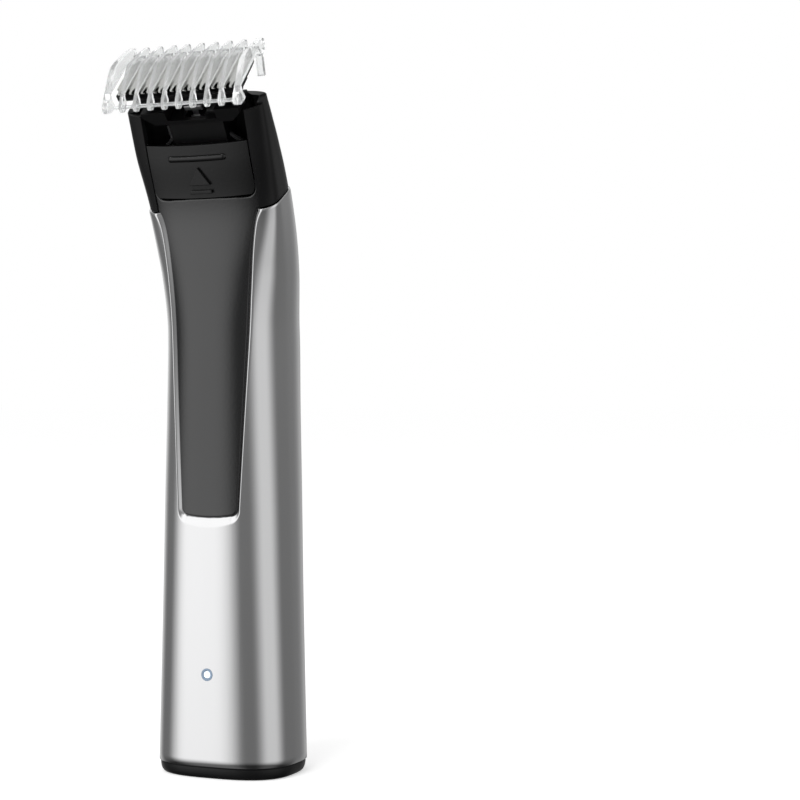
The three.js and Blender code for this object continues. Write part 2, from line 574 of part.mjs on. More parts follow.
function addBladeUnit() {
  const group = leaningGroup(BLADE);
  trimmer.add(group);

  const bar = extrudeAcross(carrierProfile(), -BAR.half, BAR.half, 4);
  const besideStem = [-1, 1].map((side) => box([-4, -FAR, -FAR], [4, FAR, -2.6]).translate(side * 17.2, 0, 0));
  const ends = [-1, 1].map((side) =>
    box([-BAR.end / 2, -BAR.reach, BAR.top - 0.2], [BAR.end / 2, BAR.reach, -0.75])
      .translate(side * (BAR.half - BAR.end / 2), 0, 0),
  );
  const lugs = [-1, 1].map((side) => box([-0.9, -1.6, -9.9], [0.9, 1, -5.3]).translate(side * 9.5, 0, 0));
  const pinRoom = crossBar(-FAR, FAR, TILT_AXIS.y, TILT_AXIS.z, 0.95, 12);
  const yokeRoom = box([-3.8, -2.2, -FAR], [3.8, 2.2, FAR]);
  const carrier = cut(join(cut(bar, ...besideStem), ...ends, ...lugs), pinRoom, yokeRoom);
  add("blade_carrier", "plastic", carrier, group);

  add("guard_plate", "blade", toothedPlate(GUARD, 0), group);
  add("cutter_plate", "blade", toothedPlate(CUTTER, CUTTER.top), group);
  const spring = cut(box([-10, -2.6, -1.5], [10, 2.6, -1.25]), box([-3.6, -1.9, -3], [3.6, 1.9, 0]));
  add("cutter_spring", "steel", spring, group);
  const yoke = cut(box([-2.4, -1.7, -6.2], [2.4, 1.7, -1.3]), box([-1.15, -3, -7], [1.15, 3, -3.6]));
  add("cutter_yoke", "plastic", yoke, group);

  const boot = cut(
    extrudeAcross(bootProfile(), -11.8, 11.8),
    box([-11, -2.1, -9], [11, 2.1, -4]),
  );
  add("flex_boot", "rubber", boot, group);

  const wells = [-1, 1].map((side) => box([-1.3, -2.5, -FAR], [1.3, 1.9, FAR]).translate(side * 9.5, 0, 0));
  const base = cut(
    box([-BASE.half, BASE.front, BASE.bottom], [BASE.half, BASE.rear, BASE.top]),
    box([-6.4, -FAR, -9.5], [6.4, 1.6, FAR]),
    box([-2.3, -3, -FAR], [2.3, 1.5, FAR]),
    pinRoom,
    ...wells,
  );
  add("blade_base", "plastic", base, group);
  for (const [side, label] of [[-1, "left"], [1, "right"]]) {
    const low = Math.min(side * 7.6, side * 12.5);
    const pin = crossBar(low, low + 4.9, TILT_AXIS.y, TILT_AXIS.z, 0.75, 12);
    add(`tilt_pin_${label}`, "steel", pin, group);
  }
}

function bootProfile() {
  return outline([
    [-2.6, -7.3], [-2.9, -6.9], [-2.5, -6.5], [-2.8, -6.1], [-2.5, -5.8],
    [2.5, -5.8], [2.8, -6.1], [2.5, -6.5], [2.9, -6.9], [2.5, -7.3],
  ]);
}

// Clear comb: arched ribs across both blade edges, tied by two skirts. The end ribs carry the clip arms.
function combOuter(shape) {
  shape.moveTo(6.9, -1.8);
  shape.lineTo(8.3, -1.6);
  shape.lineTo(9.7, 0.2);
  shape.quadraticCurveTo(10.1, 0.9, 9.3, 1.15);
  shape.lineTo(1.2, 3);
  shape.quadraticCurveTo(-0.3, 3.4, -1.6, 2.8);
  shape.lineTo(-9.6, -0.6);
  shape.quadraticCurveTo(-10.1, -0.9, -10.15, -1.5);
  shape.lineTo(-10.2, -2);
  shape.quadraticCurveTo(-10.1, -2.5, -9.5, -2.5);
}

function ribProfile() {
  const shape = new THREE.Shape();
  combOuter(shape);
  shape.lineTo(-8.2, -2.4);
  shape.lineTo(-7.3, -1.4);
  shape.lineTo(-6.6, 0.4);
  shape.lineTo(6.5, 0.4);
  shape.lineTo(6.9, -0.2);
  shape.closePath();
  return shape;
}

function endRibProfile() {
  const shape = new THREE.Shape();
  combOuter(shape);
  shape.lineTo(-8, -2.8);
  shape.lineTo(-6.8, -2.4);
  shape.lineTo(-7, -1.2);
  shape.lineTo(-6.5, 0.4);
  shape.lineTo(6, 0.4);
  shape.lineTo(6.2, -1.4);
  shape.lineTo(4.6, -3.1);
  shape.lineTo(3.7, -5.3);
  shape.lineTo(4.8, -5.5);
  shape.lineTo(5.9, -3.2);
  shape.closePath();
  return shape;
}

function addComb() {
  const group = leaningGroup(BLADE);
  trimmer.add(group);
  const reach = ((COMB.ribs - 1) * COMB.pitch) / 2;
  const ribs = [];
  for (let i = 1; i < COMB.ribs - 1; i++) {
    const x = -reach + i * COMB.pitch;
    ribs.push(extrudeAcross(ribProfile(), x - COMB.rib / 2, x + COMB.rib / 2, 4));
  }
  for (const side of [-1, 1]) {
    const x = side * (reach + 0.4);
    ribs.push(extrudeAcross(endRibProfile(), x - COMB.endRib / 2, x + COMB.endRib / 2, 4));
  }
  const frontSkirt = outline([[-8.5, -2.3], [-7.7, -2.2], [-7, -0.8], [-7.8, -0.7]]);
  const rearSkirt = outline([[6.9, -1.8], [7.7, -1.7], [7.7, 0.2], [6.9, 0.2]]);
  const end = reach + 0.2;
  const skirts = [frontSkirt, rearSkirt].map((shape) => extrudeAcross(shape, -end, end));
  add("comb", "clear", join(...ribs, ...skirts), group);
}

addCasing();
addFoot();
addElectronics();
addChassis();
addMotor();
addLever();
addHead();
addSlider();
addBladeUnit();
addComb();

export default trimmer;
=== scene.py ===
import math

import bmesh
import bpy
import numpy as np
from mathutils import Matrix, Vector


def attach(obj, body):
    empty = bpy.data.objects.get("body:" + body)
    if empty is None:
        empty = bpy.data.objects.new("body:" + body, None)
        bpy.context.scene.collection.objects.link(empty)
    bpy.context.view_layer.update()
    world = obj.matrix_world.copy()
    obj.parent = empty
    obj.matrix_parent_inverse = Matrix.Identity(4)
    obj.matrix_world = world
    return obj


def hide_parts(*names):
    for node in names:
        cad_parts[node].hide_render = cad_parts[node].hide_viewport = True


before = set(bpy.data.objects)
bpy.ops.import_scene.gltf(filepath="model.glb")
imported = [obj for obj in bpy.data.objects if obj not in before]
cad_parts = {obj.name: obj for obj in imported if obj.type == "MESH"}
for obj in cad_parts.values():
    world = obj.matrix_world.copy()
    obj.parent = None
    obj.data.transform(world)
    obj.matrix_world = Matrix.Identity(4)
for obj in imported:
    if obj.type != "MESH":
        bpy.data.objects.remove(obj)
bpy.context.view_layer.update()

MM = 0.001
MIRROR = np.array([-1, 1, 1])

# ---- Outer surface of handle and neck, in millimetres ----
# front (y, z), rear (y, z), half width, power of the section, crown of the front and rear faces
STATIONS = [
    ((-13.4, 0), (13.3, 0), 17.3, 2.8, (0, 0)),
    ((-13.4, 22), (13.4, 22), 16.7, 2.8, (0, 0)),
    ((-13.4, 44), (13.6, 44), 16.1, 2.8, (0, 0)),
    ((-13.4, 66), (13.9, 66), 15.6, 2.8, (0, 0)),
    ((-13.4, 86), (14.2, 87), 15.05, 2.8, (0, 0)),
    ((-13.4, 104), (14.1, 106), 14.7, 2.9, (0.2, 0.1)),
    ((-13.5, 117.5), (10.2, 121.0), 15.7, 3.4, (0.8, 0.3)),
    ((-14.4, 130.6), (-0.4, 139.1), 17.1, 5.0, (1.6, 0.6)),
    ((-18.7, 143), (-9.1, 150.4), 17.9, 6, (1.6, 0.8)),
    ((-23.6, 157.2), (-16.9, 161.3), 17.9, 6, (1.4, 1.0)),
]
FRONT = np.array([(*s[0], s[4][0]) for s in STATIONS], float)
REAR = np.array([(*s[1], s[4][1]) for s in STATIONS], float)
SIZE = np.array([(s[2], s[3], 0) for s in STATIONS], float)
NECK_SHARE = 7 / 9
QUARTER = 160

NECK = (-6.55, 135.0, math.radians(32.4))
BLADE = (-24.95, 161.9, math.radians(47.5))
SLIDER_FACE = (-15.9, 136.5, math.radians(20.2))

GRIP_LOW, GRIP_HALF, GRIP_CORNER, GRIP_SAG = 61.0, 7.7, 2.0, 0.8
WAIST_HALF, WAIST_Z, SHOULDER_HALF, SHOULDER_Z = 10.4, 111.0, 14.4, 131.9
SURFACE_INSET = 0.07  # keeps the drawn surfaces inside the CAD box
BUTTON_HEIGHT, BUTTON_HOLE = 24.3, 1.0  # the edge of the hole lies under the ring
GRIP_INSET, FLOOR_INSET, BEVEL_WIDTH, SCOOP_WIDTH = 0.6, 0.95, 0.26, 1.9
REAR_LOW, REAR_HALF, REAR_TOP_HALF, REAR_CORNER, REAR_TOP_Z = 106.0, 8.2, 9.0, 3.0, 175.0
STEEL_BOTTOM, STEEL_TOP = 3.0, 130.4
INLAY_HALF = 13.9
CHEEK_TOP, CHEEK_HALF, CHEEK_INSET, CHEEK_WALL = -8.8, 13.6, 0.35, 1.7
REAR_WALL_SHARE = 0.35  # of the cheeks' wall, so that the tilted head clears the back
REAR_WALL_EDGE = (12.2, 14.0)  # between these widths the wall grows to its full thickness
PANEL_WALL, PANEL_INSET = 1.5, 0.35


def catmull(points, share):
    """Centripetal Catmull-Rom curve through the points, at shares from 0 to 1."""
    place = np.clip(share, 0, 1) * (len(points) - 1)
    first = np.minimum(place.astype(int), len(points) - 2)
    t = (place - first)[..., None]
    ends = np.vstack([2 * points[0] - points[1], points, 2 * points[-1] - points[-2]])
    p0, p1, p2, p3 = (ends[first + k] for k in range(4))
    d0, d1, d2 = (((b - a) ** 2).sum(-1, keepdims=True) ** 0.25
                  for a, b in ((p0, p1), (p1, p2), (p2, p3)))
    d1 = np.where(d1 < 1e-4, 1, d1)
    d0 = np.where(d0 < 1e-4, d1, d0)
    d2 = np.where(d2 < 1e-4, d1, d2)
    t1 = ((p1 - p0) / d0 - (p2 - p0) / (d0 + d1) + (p2 - p1) / d1) * d1
    t2 = ((p2 - p1) / d1 - (p3 - p1) / (d1 + d2) + (p3 - p2) / d2) * d1
    return p1 + t * (t1 + t * (3 * (p2 - p1) - 2 * t1 - t2 + t * (2 * (p1 - p2) + t1 + t2)))


def unit_section(power):
    """(across, depth) per row, from the front centre by +X to the rear centre of a unit section."""
    knee = 0.5 ** (1 / power)[:, None]
    part = np.linspace(0, 1, QUARTER)[None, :]
    side = part * knee
    other = (1 - side ** power[:, None]) ** (1 / power[:, None])
    across = np.concatenate([side, other[:, -2::-1]], 1)
    depth = np.concatenate([other, side[:, -2::-1]], 1)
    return (np.concatenate([across, across[:, -2::-1]], 1),
            np.concatenate([-depth, depth[:, -2::-1]], 1))


def place(share, across, depth, inset):
    """Points of the surface moved inwards by inset. All arrays have one row per share."""
    inset = inset + SURFACE_INSET
    front, rear, size = (catmull(curve, share)[:, None, :] for curve in (FRONT, REAR, SIZE))
    line = rear[..., :2] - front[..., :2]
    length = np.linalg.norm(line, axis=-1)
    crown = np.where(depth < 0, front[..., 2], rear[..., 2])
    offset = depth * (length / 2 - inset - crown * across ** 2)
    middle = (front[..., :2] + rear[..., :2]) / 2 + line / length[..., None] * offset[..., None]
    return np.stack([across * (size[..., 0] - inset), middle[..., 0], middle[..., 1]], -1)


class Sections:
    """Rows of the surface, with arc length round the +X half from the front centre."""

    def __init__(self, share):
        self.share = np.asarray(share, float)
        self.across, self.depth = unit_section(catmull(SIZE, self.share)[:, 1])
        self.points = place(self.share, self.across, self.depth, np.zeros_like(self.across))
        steps = np.linalg.norm(np.diff(self.points, axis=1), axis=-1)
        self.arc = np.concatenate([np.zeros((len(self.share), 1)), np.cumsum(steps, 1)], 1)
        self.length = self.arc[:, -1]

    def front_arc(self, half_at):
        """Arc length at which each row leaves the width half_at(z) on the front."""
        count = QUARTER * 2 - 1
        gap = self.points[:, :count, 0] - half_at(self.points[:, :count, 2])
        return np.array([np.interp(0, g, a[:count]) for g, a in zip(gap, self.arc)])

    def rear_arc(self, half_at):
        """Arc length at which each row comes within the width half_at(z) on the rear."""
        start = QUARTER * 2 - 2
        gap = half_at(self.points[:, start:, 2]) - self.points[:, start:, 0]
        return np.array([np.interp(0, g, a[start:]) for g, a in zip(gap, self.arc)])

    def at(self, arcs):
        """(across, depth) at these arc lengths, one row of them per share."""
        across = np.array([np.interp(u, a, v) for u, a, v in zip(arcs, self.arc, self.across)])
        depth = np.array([np.interp(u, a, v) for u, a, v in zip(arcs, self.arc, self.depth)])
        return across, depth


SHARE_TABLE = np.linspace(0, 1, 2001)
FRONT_Z = catmull(FRONT, SHARE_TABLE)[:, 1]


def share_of(z):
    return np.interp(z, FRONT_Z, SHARE_TABLE)


def bezier(a, b, c, d, t):
    t = t[:, None]
    return a * (1 - t) ** 3 + 3 * b * t * (1 - t) ** 2 + 3 * c * t ** 2 * (1 - t) + d * t ** 3


SHOULDER = bezier(np.array([WAIST_HALF, WAIST_Z]),
                  np.array([WAIST_HALF + 0.9, 124]),
                  np.array([WAIST_HALF + 1.6, SHOULDER_Z - 0.3]),
                  np.array([SHOULDER_HALF, SHOULDER_Z]),
                  np.linspace(0, 1, 60))
OUTLINE_Z = np.concatenate([[0, GRIP_LOW + GRIP_CORNER], SHOULDER[:, 1], [300]])
OUTLINE_HALF = np.concatenate([[GRIP_HALF + 0.1] * 2, SHOULDER[:, 0], [SHOULDER_HALF]])


def front_half(z):
    return np.interp(z, OUTLINE_Z, OUTLINE_HALF)


def rear_half(z):
    return np.interp(z, [0, REAR_LOW + REAR_CORNER, REAR_TOP_Z],
                     [REAR_HALF, REAR_HALF, REAR_TOP_HALF])


def opening_distance(points, half_at, low, corner, sag):
    """(distance outside a rounded opening, share of it that points down), for points (x, y, z)."""
    x, z = np.abs(points[..., 0]), points[..., 2]
    half = half_at(z)
    slope = (half_at(z + 0.2) - half_at(z - 0.2)) / 0.4
    side = (x - half) / np.sqrt(1 + slope ** 2) + corner
    down = low - sag / 2 * np.clip(1 - (x / (half - corner)) ** 2, 0, 1) - z + corner
    outer = np.hypot(np.maximum(side, 0), np.maximum(down, 0))
    distance = outer + np.minimum(np.maximum(side, down), 0) - corner
    return distance, np.clip(np.maximum(down, 0) / np.maximum(outer, 1e-6), 0, 1)


def spread(*parts):
    """Columns per row from runs of (start, end, count), each start and end an array over rows."""
    runs = [start[:, None] + (end - start)[:, None] * np.linspace(0, 1, count, endpoint=False)
            for start, end, count in parts]
    return np.concatenate([*runs, parts[-1][1][:, None]], 1)


def mirrored(points):
    """The +X half of each row joined to its mirror image, without doubling the centre column."""
    return np.concatenate([points[:, :0:-1] * MIRROR, points], 1)


def mirrored_behind(points):
    """The same for rows that end at the rear centre."""
    return np.concatenate([points, points[:, -2::-1] * MIRROR], 1)


def grid_faces(rows, columns, closed=False):
    """Four-sided faces of a grid of points; closed joins the last column to the first."""
    faces = []
    for low in range(0, (rows - 1) * columns, columns):
        for c in range(columns if closed else columns - 1):
            d = (c + 1) % columns
            faces.append((low + c, low + d, low + columns + d, low + columns + c))
    return faces


def prism_faces(count):
    """Faces of a prism whose near outline is listed first and then its far one."""
    faces = [tuple(range(count)), tuple(range(2 * count - 1, count - 1, -1))]
    return faces + [(i, i + count, (i + 1) % count + count, (i + 1) % count) for i in range(count)]


def leaning(frame_of, points):
    """Points of a leaning frame (y, z, tilt) in the body's frame."""
    y, z, tilt = frame_of
    p = np.asarray(points, float)
    c, s = math.cos(tilt), math.sin(tilt)
    return np.stack([p[..., 0],
                     y + p[..., 1] * c - p[..., 2] * s,
                     z + p[..., 1] * s + p[..., 2] * c], -1)


def height_in(frame_of, points):
    """How far points of the body's frame lie up the Z axis of a leaning frame."""
    y, z, tilt = frame_of
    return -(points[..., 1] - y) * math.sin(tilt) + (points[..., 2] - z) * math.cos(tilt)


# ---- Materials ----


def node_material(name, color, rough, metal=0.0, grain=400.0, vary=0.06, bump=0.0,
                  stretch=(1, 1, 1), **extra):
    """A surface whose roughness and height vary with a fine procedural grain."""
    mat = bpy.data.materials.new(name)
    mat.use_nodes = True
    tree = mat.node_tree
    shader = tree.nodes["Principled BSDF"]
    shader.inputs["Base Color"].default_value = (*color, 1)
    shader.inputs["Metallic"].default_value = metal
    for key, value in extra.items():
        shader.inputs[key.replace("_", " ")].default_value = value
    where = tree.nodes.new("ShaderNodeTexCoord")
    scale = tree.nodes.new("ShaderNodeMapping")
    scale.inputs["Scale"].default_value = stretch
    noise = tree.nodes.new("ShaderNodeTexNoise")
    noise.inputs["Scale"].default_value = grain
    noise.inputs["Detail"].default_value = 3.0
    spread_of = tree.nodes.new("ShaderNodeMapRange")
    spread_of.inputs["To Min"].default_value = max(rough - vary, 0.0)
    spread_of.inputs["To Max"].default_value = rough + vary
    tree.links.new(where.outputs["Object"], scale.inputs["Vector"])
    tree.links.new(scale.outputs["Vector"], noise.inputs["Vector"])
    tree.links.new(noise.outputs["Fac"], spread_of.inputs["Value"])
    tree.links.new(spread_of.outputs["Result"], shader.inputs["Roughness"])
    if bump:
        height = tree.nodes.new("ShaderNodeBump")
        height.inputs["Strength"].default_value = bump
        height.inputs["Distance"].default_value = 0.0001
        tree.links.new(noise.outputs["Fac"], height.inputs["Height"])
        tree.links.new(height.outputs["Normal"], shader.inputs["Normal"])
    return mat


LOOKS = {
    "steel": node_material("satin steel", (0.70, 0.70, 0.705), 0.16, 1.0, 900, 0.03, 0.05,
                           (1, 1, 0.08)),
    "soft_grip": node_material("soft grip", (0.004, 0.0041, 0.0044), 0.2, 0, 1500, 0.03, 0.2,
                               Specular_IOR_Level=0.9),
    "panel_plastic": node_material("panel plastic", (0.0025, 0.0025, 0.0027), 0.3, 0, 1400, 0.04,
                                   0.15, Specular_IOR_Level=0.5),
    "black_plastic": node_material("black plastic", (0.0045, 0.0045, 0.0048), 0.36, 0, 1200, 0.05,
                                   0.10, Specular_IOR_Level=0.26),
    "inner_plastic": node_material("inner plastic", (0.02, 0.02, 0.021), 0.42, 0, 900, 0.06, 0.10),
    "rubber": node_material("rubber", (0.012, 0.012, 0.012), 0.75, 0, 1200, 0.05, 0.2),
    "fastener": node_material("fastener steel", (0.55, 0.55, 0.56), 0.3, 1.0, 700, 0.06, 0.05),
    "motor_can": node_material("motor can", (0.6, 0.6, 0.58), 0.38, 1.0, 500, 0.08, 0.1),
    "brass": node_material("gilt brass", (0.78, 0.58, 0.26), 0.28, 1.0, 600, 0.06, 0.05),
    "board": node_material("circuit board", (0.02, 0.10, 0.04), 0.45, 0, 500, 0.08, 0.1),
    "cell": node_material("cell sleeve", (0.03, 0.12, 0.3), 0.4, 0, 400, 0.05, 0.05),
    "glow": node_material("light ring", (0.21, 0.27, 0.35), 0.3, 0, 500, 0.03,
                          Emission_Color=(0.16, 0.45, 0.9, 1), Emission_Strength=0.03),
    "white": node_material("white cap", (0.85, 0.9, 0.95), 0.35, 0, 500, 0.03,
                           Emission_Color=(0.8, 0.92, 1.0, 1), Emission_Strength=0.3),
    "blade": node_material("ground blade", (0.62, 0.62, 0.60), 0.24, 1.0, 800, 0.05, 0.1,
                           (0.1, 1, 1)),
    "clear": node_material("clear comb", (0.95, 0.96, 0.96), 0.12, 0, 300, 0.02, 0.0,
                           Transmission_Weight=0.79, IOR=1.36),
}


def shade(obj, smooth):
    obj.data.polygons.foreach_set("use_smooth", [smooth] * len(obj.data.polygons))


def dress(obj, look):
    obj.data.materials.clear()
    obj.data.materials.append(LOOKS[look])


def bevel(obj, width, segments=2, angle=30):
    """Rounded edges with the flat faces kept flat in the shading."""
    edge = obj.modifiers.new("edges", "BEVEL")
    edge.width = width * MM
    edge.segments = segments
    edge.limit_method = "ANGLE"
    edge.angle_limit = math.radians(angle)
    edge.harden_normals = True
    return obj


def linked(name, data):
    obj = bpy.data.objects.new(name, data)
    bpy.context.scene.collection.objects.link(obj)
    return obj


def mesh_of(name, vertices, faces):
    """A mesh from vertices in millimetres."""
    mesh = bpy.data.meshes.new(name)
    points = np.asarray(vertices, float).reshape(-1, 3) * MM
    mesh.from_pydata([tuple(point) for point in points], [], faces)
    mesh.validate()
    return mesh


def piece(name, vertices, faces, body, look, nodes=()):
    """A mesh in millimetres that rides on a body and stands for these CAD nodes."""
    obj = linked(name, mesh_of(name, vertices, faces))
    dress(obj, look)
    shade(obj, True)
    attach(obj, body)
    if nodes:
        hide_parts(*nodes)
    return obj


def sheet(name, points, body, look, nodes=(), closed=False):
    """A piece from rows of points."""
    return piece(name, points, grid_faces(*points.shape[:2], closed), body, look, nodes)


# ---- Casing ----


def sections_between(low, high, dense, coarse=1.6, fine=0.16):
    """Front heights from low to high, close together inside the dense ranges."""
    heights = [low]
    while heights[-1] < high:
        z = heights[-1]
        step = fine if any(a <= z < b for a, b in dense) else coarse
        ahead = [a - z for a, b in dense if a > z]
        heights.append(min(z + min([step, *[max(gap, fine) for gap in ahead]]), high))
    return np.array(heights)


def front_inset(points):
    """Depth of the recess for the front grip: a bevelled edge, wider where it scoops out below."""
    distance, down = opening_distance(points, front_half, GRIP_LOW, GRIP_CORNER, GRIP_SAG)
    middle = 1 - 0.45 * np.clip(points[..., 0] / GRIP_HALF, -1, 1) ** 2
    width = BEVEL_WIDTH + SCOOP_WIDTH * down ** 2 * middle
    ramp = GRIP_INSET * np.clip(1 - distance / width, 0, 1)
    floor = np.clip(-distance / 0.12, 0, 1) * (FLOOR_INSET - GRIP_INSET)
    return np.where(points[..., 1] < rear_switch(points), ramp + floor, 0)


def rear_switch(points):
    """The y that parts front from rear at the height of each point."""
    return np.interp(points[..., 2], [0, 110, 140, 165], [0, 0, -7, -20])


def rear_inset(points):
    distance, _ = opening_distance(points, rear_half, REAR_LOW, REAR_CORNER, 0)
    groove = np.clip(1 - distance / 0.25, 0, 1) * 0.35 + np.clip(-distance / 0.2, 0, 1) * 0.6
    return np.where(points[..., 1] > rear_switch(points), groove, 0)


def add_shell():
    button, scoop = (BUTTON_HEIGHT - 1.6, BUTTON_HEIGHT + 1.6), (58.0, 64.0)
    rear_edge, shoulder = (103.2, 106.2), (127.6, STEEL_TOP)
    heights = sections_between(STEEL_BOTTOM, STEEL_TOP, [button, scoop, rear_edge, shoulder])
    share = np.minimum(share_of(heights), NECK_SHARE)
    rows = Sections(share)
    front = rows.front_arc(front_half)
    rear = rows.rear_arc(rear_half)
    zero = np.zeros_like(front)
    arcs = spread((zero, front - 2.3, 14), (front - 2.3, front + 0.4, 24),
                  (front + 0.4, rear - 0.4, 48), (rear - 0.4, rear + 0.4, 6),
                  (rear + 0.4, rows.length, 12))
    across, depth = rows.at(arcs)
    points = place(share, across, depth, np.zeros_like(across))
    inset = np.maximum(front_inset(points), rear_inset(points))
    rim = np.array([1.6, 0.9, 0.5, 0.24, 0.07])
    bottom = np.maximum(inset[:1], 0) + rim[:, None]
    top = np.maximum(inset[-1:], 0) + rim[::-1, None]
    lift = np.array([0.0, 0.0, 0.02, 0.1, 0.3])
    share = np.concatenate([share_of(STEEL_BOTTOM - 0.35 + lift), share,
                            NECK_SHARE + 0.002 * (1 - lift[::-1])])
    inset = np.concatenate([bottom, inset, top])
    across, depth = (np.pad(v, ((len(rim), len(rim)), (0, 0)), "edge") for v in (across, depth))
    points = mirrored(place(share, across, depth, inset))
    # The faces near the button are left out, which makes its hole
    reach = np.hypot(points[..., 0], points[..., 2] - BUTTON_HEIGHT)
    hole = ((reach < BUTTON_HOLE) & (points[..., 1] < 0)).reshape(-1)
    faces = [face for face in grid_faces(*points.shape[:2]) if not hole[list(face)].any()]
    piece("steel_casing", points, faces, "handle", "steel", ["steel_shell"])


def add_front_grip():
    heights = sections_between(GRIP_LOW - 1.2, 137.2, [(59.8, 64.0), (127.6, 137.0)], 1.6, 0.2)
    share = share_of(heights)
    rows = Sections(share)
    edge = rows.front_arc(lambda z: np.minimum(front_half(z), INLAY_HALF))
    zero = np.zeros_like(edge)
    arcs = spread((zero, edge - 2.3, 16), (edge - 2.3, edge + 0.05, 22))
    across, depth = rows.at(arcs)
    points = place(share, across, depth, np.zeros_like(across))
    distance, _ = opening_distance(points, front_half, GRIP_LOW, GRIP_CORNER, GRIP_SAG)
    rolled = GRIP_INSET + 0.42 * (1 - np.clip(-(distance + 0.02) / 0.5, 0, 1)) ** 2
    under = np.clip(-panel_distance(points, 0.25) / 0.3, 0, 1) * 1.7
    points = mirrored(place(share, across, depth, np.maximum(rolled, GRIP_INSET + under)))
    sheet("front_grip_skin", points, "handle", "soft_grip", ["front_grip"])


PANEL_HALF, PANEL_LOW, PANEL_HIGH, PANEL_CORNER = 13.3, 134.35, 146.0, 2.6


def panel_distance(points, margin):
    """Distance outside the outline of the release panel, grown by margin."""
    side = np.abs(points[..., 0]) - PANEL_HALF - margin + PANEL_CORNER
    down = PANEL_LOW - margin - points[..., 2] + PANEL_CORNER
    outer = np.hypot(np.maximum(side, 0), np.maximum(down, 0))
    return outer + np.minimum(np.maximum(side, down), 0) - PANEL_CORNER


def add_rear_grip():
    heights = sections_between(104.0, 157.0, [(104.0, 108.6)], 1.4, 0.2)
    share = share_of(heights)
    rows = Sections(share)
    edge = rows.rear_arc(lambda z: rear_half(z) - 0.12)
    arcs = spread((edge, edge + 2.8, 18), (edge + 2.8, rows.length, 14))
    across, depth = rows.at(arcs)
    points = place(share, across, depth, np.zeros_like(across))
    distance, _ = opening_distance(points, rear_half, REAR_LOW, REAR_CORNER, 0)
    rolled = 0.02 + 0.9 * (1 - np.clip(-(distance + 0.05) / 0.6, 0, 1)) ** 2
    points = place(share, across, depth, rolled)
    over = height_in(NECK, points) - 17.6
    points = points - over[..., None].clip(0) * np.array([0, -math.sin(NECK[2]), math.cos(NECK[2])])
    sheet("rear_grip_skin", mirrored_behind(points), "handle", "soft_grip", ["rear_grip"])


def add_housing():
    share = np.linspace(NECK_SHARE + 0.0045, 1.0, 60)
    rows = Sections(share)
    front = rows.front_arc(lambda z: CHEEK_HALF)
    arcs = spread((front, front + 3.2, 12), (front + 3.2, rows.length - 14, 20),
                  (rows.length - 14, rows.length, 18))
    across, depth = rows.at(arcs)
    points = place(share, across, depth, CHEEK_INSET)
    height = height_in(BLADE, points)
    index = np.arange(len(share))
    even = np.linspace(0, 1, 26)
    shown = []
    for c in range(points.shape[1]):
        last = np.interp(CHEEK_TOP, height[:, c], index)
        shown.append([[np.interp(last * e, index, points[:, c, k]) for k in range(3)]
                      for e in even])
    points = np.array(shown).transpose(1, 0, 2)
    distance, _ = opening_distance(points, rear_half, REAR_LOW, REAR_CORNER, 0)
    behind = points[..., 1] > rear_switch(points)
    groove = np.clip(-distance / 0.25, 0, 1) * 0.65 * behind
    inward = np.array([0, -math.cos(NECK[2]), -math.sin(NECK[2])])
    points = points + groove[..., None] * inward
    points = mirrored_behind(points)
    cheeks = sheet("head_cheeks", points, "handle", "black_plastic", ["head_housing"])
    thin = cheeks.vertex_groups.new(name="wall")
    for i, x in enumerate(points.reshape(-1, 3)[:, 0]):
        part = np.interp(abs(x), REAR_WALL_EDGE, [REAR_WALL_SHARE, 1])
        thin.add([i], float(part), "REPLACE")
    wall = thicken(cheeks, CHEEK_WALL)
    wall.vertex_group = "wall"
    bevel(cheeks, 0.28, 3, 50)


def thicken(obj, thickness):
    """Gives a sheet a wall on its inner side."""
    wall = obj.modifiers.new("wall", "SOLIDIFY")
    wall.thickness = thickness * MM
    wall.offset = -1
    return wall


def panel_half(z):
    below = np.clip(PANEL_LOW + PANEL_CORNER - z, 0, PANEL_CORNER)
    return PANEL_HALF - PANEL_CORNER + np.sqrt(PANEL_CORNER ** 2 - below ** 2)


def panel_point(x, z, inset):
    """A point of the panel's face at this x and front height."""
    row = Sections(np.array([share_of(z)]))
    across, depth = row.at(row.front_arc(lambda z: abs(x))[:, None])
    point = place(row.share, across, depth, inset)[0, 0]
    return point * np.array([math.copysign(1, x), 1, 1])


# The ridge's ends are rounded over RIDGE_END; its middle line lies RIDGE_SINK under the neck's face
RIDGE_HALF, RIDGE_END, RIDGE_RADIUS, RIDGE_Z, RIDGE_SINK = 7.6, 0.8, 0.78, 143.1, 0.42
RIDGE_FLATTEN = 0.9


